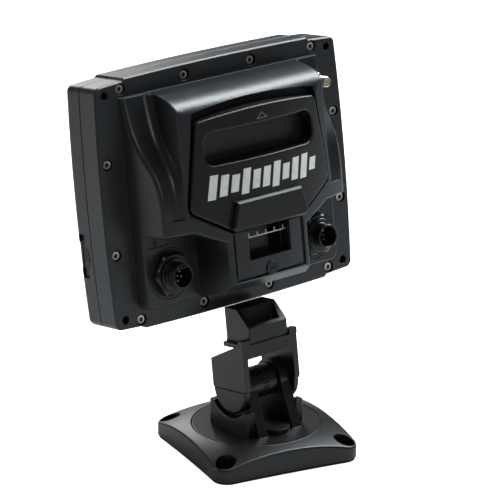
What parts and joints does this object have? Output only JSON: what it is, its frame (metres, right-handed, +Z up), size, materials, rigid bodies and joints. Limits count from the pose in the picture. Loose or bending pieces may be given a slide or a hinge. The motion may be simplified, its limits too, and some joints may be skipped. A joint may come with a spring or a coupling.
{
  "type": "fish finder",
  "caption": "Marine sonar display with a finned rear hump, sprung latch plate and round sockets, lifted off its tilt and swivel quick-release bracket.",
  "frame": {"origin": "centre of the base's four bolt holes, on the swivel axis, at the underside of the base pad", "axes": "+Z up along the swivel axis, screen facing -Y, connectors facing +Y, +X to the right of someone facing the screen"},
  "size_m": [0.177, 0.1139, 0.2245],
  "materials": {
    "housing_plastic": "fine satin texture",
    "bracket_plastic": "fine moulded texture",
    "black_plastic": "satin",
    "latch_plastic": "semi-gloss",
    "connector_plastic": "semi-gloss",
    "key_rubber": "soft matt",
    "seal_rubber": "matt",
    "lens_glass": "polished",
    "panel_glass": "polished",
    "tray_metal": "pressed",
    "board_laminate": "solder mask",
    "patch_ceramic": "fired",
    "stainless": "satin",
    "jack_metal": "nickel-washed",
    "gold_pins": "polished",
    "comb_metal": "satin"
  },
  "bodies": {
    "base": {"base_plate": "bracket_plastic", "base_pad": "seal_rubber"},
    "turret": {"turret": "bracket_plastic", "ratchet_block": "bracket_plastic", "swivel_bolt": "stainless", "swivel_washer": "stainless"},
    "head": {"tilt_head": "bracket_plastic", "tilt_axle": "stainless", "friction_washers": "seal_rubber"},
    "display": {"rear_housing": "housing_plastic", "front_bezel": "housing_plastic", "housing_seal": "seal_rubber", "lens": "lens_glass", "lcd_panel": "panel_glass", "lcd_tray": "tray_metal", "main_board": "board_laminate", "board_screws": "stainless", "keypad_mat": "seal_rubber", "card_slot": "black_plastic", "door_hinge_pin": "stainless", "housing_screws": "stainless", "connector_nuts": "connector_plastic", "connector_gaskets": "seal_rubber", "antenna_jack": "jack_metal", "antenna_nut": "jack_metal", "gps_patch": "patch_ceramic", "beeper": "black_plastic", "socket_frame": "housing_plastic", "contact_comb": "comb_metal", "round_plug": "black_plastic", "latch_springs": "stainless", "power_connector": "connector_plastic", "power_pins": "gold_pins", "sonar_connector": "connector_plastic", "sonar_pins": "gold_pins"},
    "latch": {"latch_handle": "latch_plastic"},
    "card_door": {"card_door": "black_plastic"},
    "pages_key": {"pages_key": "key_rubber"},
    "menu_key": {"menu_key": "key_rubber"},
    "cursor_pad": {"cursor_pad": "key_rubber"},
    "enter_key": {"enter_key": "key_rubber"},
    "exit_key": {"exit_key": "key_rubber"},
    "zoom_out_key": {"zoom_out_key": "key_rubber"},
    "zoom_in_key": {"zoom_in_key": "key_rubber"},
    "power_key": {"power_key": "key_rubber"}
  },
  "joints": [
    {"name": "swivel", "type": "hinge", "parent": "base", "child": "turret", "pos_m": [0, 0, 0.0155], "axis": [0, 0, 1], "range_deg": [-75, 75]},
    {"name": "tilt", "type": "hinge", "parent": "turret", "child": "head", "pos_m": [0, 0, 0.04], "axis": [1, 0, 0], "range_deg": [-50, 25]},
    {"name": "dock_slide", "type": "slide", "parent": "head", "child": "display", "axis": [0, -0.1305, 0.9914], "range_m": [-0.026, 0]},
    {"name": "latch_slide", "type": "slide", "parent": "display", "child": "latch", "axis": [0, -0.1305, 0.9914], "range_m": [0, 0.004], "stiffness_N_per_m": 300, "springref_m": -0.004, "deforming": ["latch_springs"]},
    {"name": "card_door_hinge", "type": "hinge", "parent": "display", "child": "card_door", "pos_m": [0.0851, -0.04536, 0.12329], "axis": [0, 0.1305, -0.9914], "range_deg": [0, 85]},
    {"name": "pages_press", "type": "slide", "parent": "display", "child": "pages_key", "axis": [0, 0.9914, 0.1305], "range_m": [0, 0.001], "stiffness_N_per_m": 1200, "springref_m": -0.0003},
    {"name": "menu_press", "type": "slide", "parent": "display", "child": "menu_key", "axis": [0, 0.9914, 0.1305], "range_m": [0, 0.001], "stiffness_N_per_m": 1200, "springref_m": -0.0003},
    {"name": "cursor_press", "type": "slide", "parent": "display", "child": "cursor_pad", "axis": [0, 0.9914, 0.1305], "range_m": [0, 0.001], "stiffness_N_per_m": 1200, "springref_m": -0.0003},
    {"name": "enter_press", "type": "slide", "parent": "display", "child": "enter_key", "axis": [0, 0.9914, 0.1305], "range_m": [0, 0.001], "stiffness_N_per_m": 1200, "springref_m": -0.0003},
    {"name": "exit_press", "type": "slide", "parent": "display", "child": "exit_key", "axis": [0, 0.9914, 0.1305], "range_m": [0, 0.001], "stiffness_N_per_m": 1200, "springref_m": -0.0003},
    {"name": "zoom_out_press", "type": "slide", "parent": "display", "child": "zoom_out_key", "axis": [0, 0.9914, 0.1305], "range_m": [0, 0.001], "stiffness_N_per_m": 1200, "springref_m": -0.0003},
    {"name": "zoom_in_press", "type": "slide", "parent": "display", "child": "zoom_in_key", "axis": [0, 0.9914, 0.1305], "range_m": [0, 0.001], "stiffness_N_per_m": 1200, "springref_m": -0.0003},
    {"name": "power_press", "type": "slide", "parent": "display", "child": "power_key", "axis": [0, 0.9914, 0.1305], "range_m": [0, 0.001], "stiffness_N_per_m": 1200, "springref_m": -0.0003}
  ]
}
